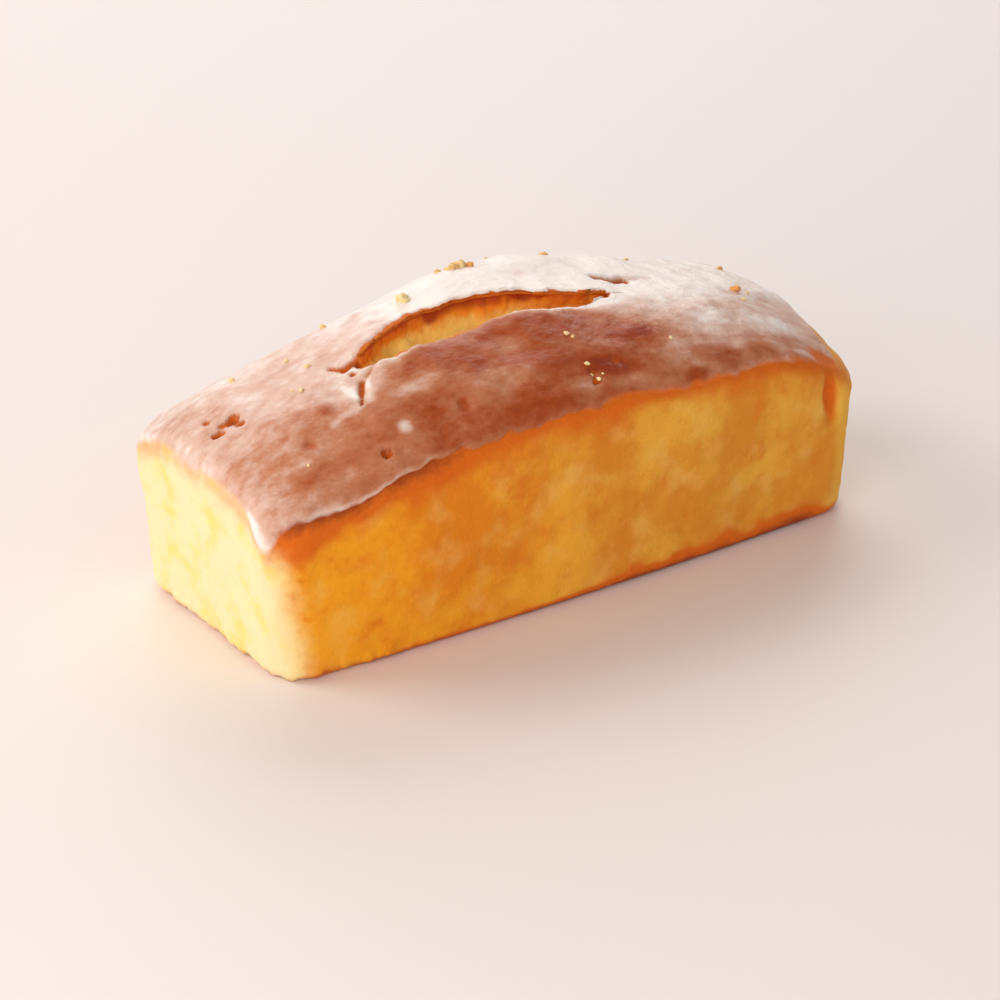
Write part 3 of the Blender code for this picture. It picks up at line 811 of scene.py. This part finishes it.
# Raised lines of sugar beside the cracks: from X, Y to X, Y, height, half width
SUGAR_LINES = (
    (-0.0451, -0.0108, -0.0482, -0.0172, 0.00010, 0.0010),
    (-0.0506, -0.0095, -0.0500, -0.0150, 0.00010, 0.0012),
    (-0.0512, -0.0176, -0.0590, -0.0188, 0.00014, 0.0014),
)
white_step = np.interp(x, WHITE_STATIONS, WHITE_WIDTH)
wander = ripples(x, y, 0, (0.0030, 0.016, 47.0), (0.0014, 0.0055, 48.0))
milky_and_sheen = fade((y + wander - np.interp(x, WHITE_STATIONS, WHITE_LINE)) / white_step, -1, 1)
least, most = np.interp(x, WHITE_STATIONS, WHITE_FRONT), np.interp(x, WHITE_STATIONS, WHITE_AND_SHEEN_BEHIND)
milky_and_sheen = least + (most - least) * milky_and_sheen + 0.06 * ripple(x * 0.6, y * 1.3, z, 0.0075, 49.0)
milky_and_sheen += 0.12 * fade(np.abs(y), 0.012, 0.030) * (y > 0) + 0.09 * fade(travel, 0.001, 0.006) * left_share
milky_and_sheen -= 0.8 * fade(mark, 0.00008, 0.00070)
for spot_x, spot_y, reach_x, reach_y, change in SUGAR_SPOTS:
    away = ((x - spot_x) / reach_x) ** 2 + ((y - spot_y) / reach_y) ** 2
    milky_and_sheen += change * np.exp(-(away**1.5))
for line in SUGAR_LINES:
    milky_and_sheen += 0.27 * near_line(x, y, line)
    glaze += np.where(on_top, line[4] * near_line(x, y, line), 0)
white_lip = np.exp(-np.clip(front - y, 0, None) / 0.0011) * (on_top & (row_share < 2.25)) * open_here
white_lip *= np.interp(x, LIP_STATIONS, LIP_WHITE)
milky_and_sheen += 1.2 * white_lip
milky_and_sheen += hump(from_edge - 0.0006, 0.0009) * front_share * np.interp(x, RIM_STATIONS, RIM_WHITE)
# The sugar that ran down the near corner dried white along its left edge
run_line = y + 0.0262 + 0.55 * np.clip(travel - 0.008, -0.002, 0.010)
milky_and_sheen += 0.55 * hump(run_line + 0.0010, 0.0034) * fade(travel, 0.0045, 0.0085) * left_share
milky_and_sheen = np.clip(milky_and_sheen, 0, 1)

# The sheet of glaze: an outer skin where there is icing, an inner one under it, and a strip between them
used = glaze > -0.9 * GLAZE_BED
kept = faces[used[faces].any(axis=1)]
wanted = np.unique(kept)
renumber = np.full(len(whole_skin), -1)
renumber[wanted] = np.arange(len(wanted))
sheet_faces = renumber[kept]
sheet = whole_skin[wanted]
lift = skin_outward[wanted]
soft_bumps = 0.00010 * ripple(*sheet.T, 0.0058, 15.0)
outer = sheet + lift * (glaze[wanted] + soft_bumps * (glaze[wanted] > 0))[:, None]
inner = sheet - lift * (GLAZE_BED * 1.6)
sides = np.concatenate([sheet_faces[:, [k, (k + 1) % 4]] for k in range(4)])
low_high = np.sort(sides, axis=1)
_, first, count = np.unique(low_high, axis=0, return_index=True, return_counts=True)
open_sides = sides[first[count == 1]]
under_it = len(wanted)
closing = np.concatenate([open_sides[:, ::-1], open_sides + under_it], axis=1)
icing_faces = np.concatenate([sheet_faces, sheet_faces[:, ::-1] + under_it, closing])

GLAZE_WHITE = linear(249, 236, 228)
GLAZE_BLUSH = linear(224, 184, 165)
GLAZE_TAN = linear(195, 123, 86)
GLAZE_RUST = linear(168, 72, 24)
GLAZE_DEEP = linear(146, 48, 10)

glazed, shader, start = new_finish("sugar_glaze")
under, places = sponge_colour(start)
thickness = start.stored("thickness")
# The stored whiteness holds a painted sheen behind the crown and towards the ends, as well as white sugar
stored_white_and_sheen = start.stored("milky_and_sheen")
streaks = places.stretched((0.85, 1.15, 1.0)).noise(0.0100, 4, 0.62)
fine_streaks = places.stretched((0.8, 1.2, 1.0)).noise(0.0034, 3, 0.6)
whiteness = stored_white_and_sheen + (streaks - 0.5) * 0.54 + (fine_streaks - 0.5) * 0.45
tinted = whiteness.rise(-0.12, 0.12).blended(GLAZE_DEEP, GLAZE_RUST)
tinted = whiteness.rise(0.06, 0.42).blended(tinted, GLAZE_TAN)
tinted = whiteness.rise(0.34, 0.66).blended(tinted, GLAZE_BLUSH)
tinted = whiteness.rise(0.60, 0.92).blended(tinted, GLAZE_WHITE)
covered = (thickness + (fine_streaks - 0.5) * 0.3).rise(0.02, 0.60)
dimples = places.noise(0.0030, 3, 0.55).bumps(0.4, 0.0010)
plug(shader, Base_Color=covered.blended(under, tinted), Normal=dimples, Roughness=0.26 + streaks * 0.2)
plug(shader, Subsurface_Weight=0.12, Subsurface_Radius=(1.0, 0.6, 0.45), Subsurface_Scale=0.002)
plug(shader, Specular_IOR_Level=0.22)

icing = made_piece("sugar_icing", np.concatenate([outer, inner]), icing_faces.tolist(), glazed)
shown = np.maximum(np.clip(glaze, 0, None) / GLAZE_THICKNESS, 1.1 * white_lip)
# Where the sheet hangs over the back lip it shows the dark edge of the crust
under_glaze = np.where((across_split > 0.25) & (across_split < 1), 1.15, browned)
for name, values in (("thickness", shown), ("browned", under_glaze), ("milky_and_sheen", milky_and_sheen)):
    keep_values(icing, name, np.tile(values[wanted], 2))
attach(icing, "root")
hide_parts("icing")


# The crumbs. Bits of cake and grains of sugar that fell on the wet icing and set in it. Each is a ragged
# ball with a place and a size of its own, nearly half sunk in the icing.

# Each crumb: place along X, place along Y, size across, and how much of it is brown crust
CRUMB_SPOTS = (
    (-0.0533, 0.0130, 0.0017, 0.1),
    (-0.0516, 0.0060, 0.0017, 0.2),
    (-0.0582, -0.0026, 0.0015, 0.2),
    (-0.0596, -0.0004, 0.0009, 0.1),
    (-0.0204, 0.0122, 0.0032, 0.3),
    (-0.0190, 0.0139, 0.0016, 0.4),
    (-0.0024, 0.0178, 0.0034, 0.5),
    (0.0004, 0.0186, 0.0036, 0.4),
    (0.0025, 0.0172, 0.0022, 0.7),
    (-0.0060, 0.0190, 0.0016, 0.5),
    (0.0058, -0.0200, 0.0016, 0.0),
    (0.0066, -0.0212, 0.0013, 0.5),
    (0.0050, -0.0296, 0.0016, 0.1),
    (0.0048, -0.0318, 0.0014, 0.3),
    (0.0055, -0.0336, 0.0015, 0.1),
    (0.0072, -0.0330, 0.0009, 0.0),
    (0.0318, -0.0269, 0.0011, 0.0),
    (0.0672, -0.0062, 0.0030, 0.9),
    (0.0705, -0.0069, 0.0012, 0.3),
    (0.0660, -0.0112, 0.0011, 0.1),
    (-0.0707, -0.0259, 0.0010, 0.0),
    (-0.0380, 0.0210, 0.0020, 0.4),
    (0.0290, 0.0240, 0.0024, 0.5),
    (0.0480, 0.0150, 0.0015, 0.2),
    (-0.0650, 0.0190, 0.0016, 0.3),
    (0.0150, 0.0290, 0.0019, 0.4),
    (0.0760, 0.0120, 0.0017, 0.6),
)
CRUMB_SEED = 7
CRUMB_RAGGEDNESS = 1.0
# How many bumps a crumb's surface has to the metre, and how far its middle stands above the icing, as a
# share of its size
CRUMB_BUMPS = 900.0
CRUMB_LIFT = 0.10
# The largest turn about each axis, and the smallest and largest width along each, as a share of its size
CRUMB_TURN = (0.5, 0.5, 6.28)
SMALLEST_FORM = (0.75, 0.6, 0.5)
LARGEST_FORM = (1.15, 1.0, 0.8)
CRUMB_PALE = linear(254, 228, 166)
CRUMB_BROWN = linear(238, 164, 84)


def top_height(x, y):
    """Height of the finished icing over a place."""
    finished = icing.evaluated_get(bpy.context.evaluated_depsgraph_get())
    return finished.ray_cast(Vector((x, y, 0.2)), Vector((0, 0, -1)))[1].z


bpy.context.view_layer.update()
rest = np.array([(cx, cy, top_height(cx, cy) + CRUMB_LIFT * size) for cx, cy, size, _ in CRUMB_SPOTS])
seat_mesh = bpy.data.meshes.new("crumb_seats")
seat_mesh.from_pydata(rest.tolist(), [], [])
seats = bpy.data.objects.new("crumb_seats", seat_mesh)
bpy.context.scene.collection.objects.link(seats)
for name, column_here in (("across", 2), ("crusty", 3)):
    keep_values(seats, name, np.array([spot[column_here] for spot in CRUMB_SPOTS]))

crumb, shader, start = new_finish("loose_crumb")
places = start.node("ShaderNodeTexCoord", output=3)
crusty = start.stored("crusty")
specks = places.noise(0.0011, 3, 0.6)
shade = (crusty + (specks - 0.5) * 0.9).rise(0.15, 0.85).blended(CRUMB_PALE, CRUMB_BROWN)
bumps = places.noise(0.0004, 3, 0.6).bumps(0.6, 0.0003)
plug(shader, Base_Color=shade, Normal=bumps, Roughness=0.55 + specks * 0.3)

tree = bpy.data.node_groups.new("crumbs_on_icing", "GeometryNodeTree")
tree.interface.new_socket("Geometry", in_out="INPUT", socket_type="NodeSocketGeometry")
tree.interface.new_socket("Geometry", in_out="OUTPUT", socket_type="NodeSocketGeometry")
for name, kind, value in (
    ("Raggedness", "NodeSocketFloat", CRUMB_RAGGEDNESS),
    ("Seed", "NodeSocketInt", CRUMB_SEED),
    ("Finish", "NodeSocketMaterial", crumb),
):
    tree.interface.new_socket(name, in_out="INPUT", socket_type=kind).default_value = value
given = tree.nodes.new("NodeGroupInput")
made = tree.nodes.new("NodeGroupOutput")


def step(kind, settings=None, **sockets):
    """Adds a node to the crumbs' tree, with its settings and with the values or links of its sockets."""
    added = tree.nodes.new(kind)
    for name, value in (settings or {}).items():
        setattr(added, name, value)
    for name, value in sockets.items():
        socket = added.inputs[int(name[1:]) if name[1:].isdigit() else name.replace("_", " ")]
        if isinstance(value, bpy.types.NodeSocket):
            tree.links.new(value, socket)
        else:
            socket.default_value = value
    return added


def scaled(vector, factor):
    """A vector made longer or shorter by this factor, in the crumbs' tree."""
    return step("ShaderNodeVectorMath", {"operation": "SCALE"}, _0=vector, Scale=factor).outputs[0]


def for_each_crumb(low, high):
    """A vector between these two for each crumb, drawn from the tree's seed."""
    kind = {"data_type": "FLOAT_VECTOR"}
    return step("FunctionNodeRandomValue", kind, Min=low, Max=high, Seed=given.outputs["Seed"]).outputs[0]


ball = step("GeometryNodeMeshIcoSphere", Radius=0.5, Subdivisions=3)
across = step("GeometryNodeInputNamedAttribute", {"data_type": "FLOAT"}, Name="across")
turn = for_each_crumb((0, 0, 0), CRUMB_TURN)
sized = scaled(for_each_crumb(SMALLEST_FORM, LARGEST_FORM), across.outputs[0])
placed = step(
    "GeometryNodeInstanceOnPoints",
    Points=given.outputs["Geometry"],
    Instance=ball.outputs["Mesh"],
    Rotation=turn,
    Scale=sized,
)
real = step("GeometryNodeRealizeInstances", Geometry=placed.outputs["Instances"])
where = step("GeometryNodeInputPosition")
bumpy = step("ShaderNodeTexNoise", Vector=where.outputs[0], Scale=CRUMB_BUMPS, Detail=3.0)
signed = step("ShaderNodeMath", {"operation": "SUBTRACT"}, _0=bumpy.outputs[0], _1=0.5)
push = step("GeometryNodeInputNormal").outputs[0]
for factor in (signed.outputs[0], given.outputs["Raggedness"], across.outputs[0]):
    push = scaled(push, factor)
rough = step("GeometryNodeSetPosition", Geometry=real.outputs["Geometry"], Offset=push)
dressed = step("GeometryNodeSetMaterial", Geometry=rough.outputs[0], Material=given.outputs["Finish"])
tree.links.new(dressed.outputs["Geometry"], made.inputs["Geometry"])

sprinkle = seats.modifiers.new("crumbs", "NODES")
sprinkle.node_group = tree
crumb_inputs = {"Raggedness": CRUMB_RAGGEDNESS, "Seed": CRUMB_SEED}
for item in tree.interface.items_tree:
    if item.in_out == "INPUT" and item.name in crumb_inputs:
        sprinkle[item.identifier] = crumb_inputs[item.name]
crumbs_mesh = bpy.data.meshes.new_from_object(seats.evaluated_get(bpy.context.evaluated_depsgraph_get()))
seats.modifiers.remove(sprinkle)
bpy.data.objects.remove(seats)
crumbs = bpy.data.objects.new("loose_crumbs", crumbs_mesh)
crumbs_mesh.name = "loose_crumbs"
bpy.context.scene.collection.objects.link(crumbs)
crumbs_mesh.shade_smooth()
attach(crumbs, "root")


# The floor, the camera and the lamps. A pale matt floor under a bright lamp from behind on the left, as
# beside a window, with a broad weak light on the near side.

bpy.ops.mesh.primitive_plane_add(size=6)
floor = bpy.context.object
floor.name = "pale_floor"
floor_finish, shader, start = new_finish("pale_floor")
plug(shader, Base_Color=linear(238, 228, 224), Roughness=0.6)
floor.data.materials.append(floor_finish)

CAMERA_AZIMUTH = math.radians(-33.48)
CAMERA_ELEVATION = math.radians(26.23)
CAMERA_ROLL = math.radians(-0.62)
CAMERA_DISTANCE = 0.86885
CAMERA_LENS = 126
CAMERA_SHIFT_RIGHT = -0.00067
CAMERA_SHIFT_UP = -0.01633
AIM_HEIGHT = 0.030

back = Vector(
    (
        math.sin(CAMERA_AZIMUTH) * math.cos(CAMERA_ELEVATION),
        -math.cos(CAMERA_AZIMUTH) * math.cos(CAMERA_ELEVATION),
        math.sin(CAMERA_ELEVATION),
    )
)
right = Vector((math.cos(CAMERA_AZIMUTH), math.sin(CAMERA_AZIMUTH), 0))
up = back.cross(right)
aim = CAMERA_SHIFT_RIGHT * right + CAMERA_SHIFT_UP * up + Vector((0, 0, AIM_HEIGHT))
rolled_right = right * math.cos(CAMERA_ROLL) + up * math.sin(CAMERA_ROLL)
rolled_up = up * math.cos(CAMERA_ROLL) - right * math.sin(CAMERA_ROLL)
camera_data = bpy.data.cameras.new("camera")
camera_data.lens = CAMERA_LENS
camera_data.sensor_width = 36
camera_data.clip_start = 0.01
camera = bpy.data.objects.new("camera", camera_data)
turned = Matrix((rolled_right, rolled_up, back)).transposed().to_4x4()
camera.matrix_world = Matrix.Translation(aim + back * CAMERA_DISTANCE) @ turned
bpy.context.scene.collection.objects.link(camera)
bpy.context.scene.camera = camera


def add_lamp(name, place, size, power, colour):
    """A square soft lamp that faces the cake."""
    data = bpy.data.lights.new(name, "AREA")
    data.size = size
    data.energy = power
    data.color = colour
    lamp = bpy.data.objects.new(name, data)
    lamp.location = place
    lamp.rotation_euler = (Vector((0, 0, AIM_HEIGHT)) - Vector(place)).to_track_quat("-Z", "Y").to_euler()
    bpy.context.scene.collection.objects.link(lamp)


add_lamp("window", (-0.95, 0.75, 0.85), 0.8, 9.0, (1.0, 0.97, 0.93))
add_lamp("left_panel", (-0.62, -0.40, 0.32), 0.5, 2.6, (1.0, 0.96, 0.90))
add_lamp("far_panel", (0.75, 1.35, 0.95), 1.5, 15, (1.0, 0.98, 0.97))
add_lamp("near_fill", (0.3, -1.5, 1.0), 1.4, 2.5, (1.0, 0.95, 0.90))

world = bpy.data.worlds.new("room")
world.use_nodes = True
plug(world.node_tree.nodes["Background"], Color=(1.0, 0.96, 0.94, 1), Strength=0.40)
bpy.context.scene.world = world
bpy.context.scene.view_settings.view_transform = "Standard"

bpy.context.view_layer.update()
